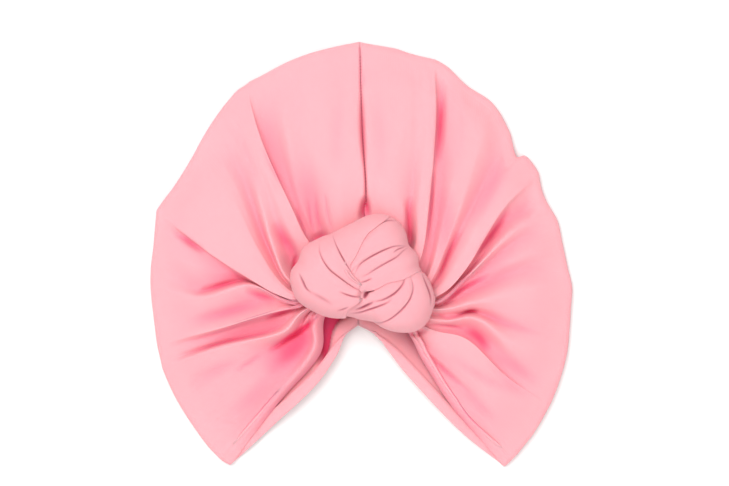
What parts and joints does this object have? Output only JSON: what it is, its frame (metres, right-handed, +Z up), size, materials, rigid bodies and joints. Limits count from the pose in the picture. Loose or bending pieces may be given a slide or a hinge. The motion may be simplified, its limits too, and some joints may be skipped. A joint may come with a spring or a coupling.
{
  "type": "knotted turban cap",
  "caption": "Soft jersey turban cap lying flat, its cloth gathered in folds under a pleated knot at the front.",
  "frame": {"origin": "on the surface that the cap lies on, under the middle of its bounding box", "axes": "+Z up from the flat back to the knot, +Y from the brim to the top of the crown, +X to the wearer's left as seen from the front"},
  "size_m": [0.248, 0.25, 0.0485],
  "materials": {
    "crown_jersey": "matte knitted jersey",
    "knot_jersey": "matte knitted jersey"
  },
  "bodies": {
    "root": {"crown_left_panel": "crown_jersey", "crown_right_panel": "crown_jersey", "knot_left_lobe": "knot_jersey", "knot_upper_lobe": "knot_jersey", "knot_lower_lobe": "knot_jersey", "knot_core": "knot_jersey"}
  },
  "joints": []
}
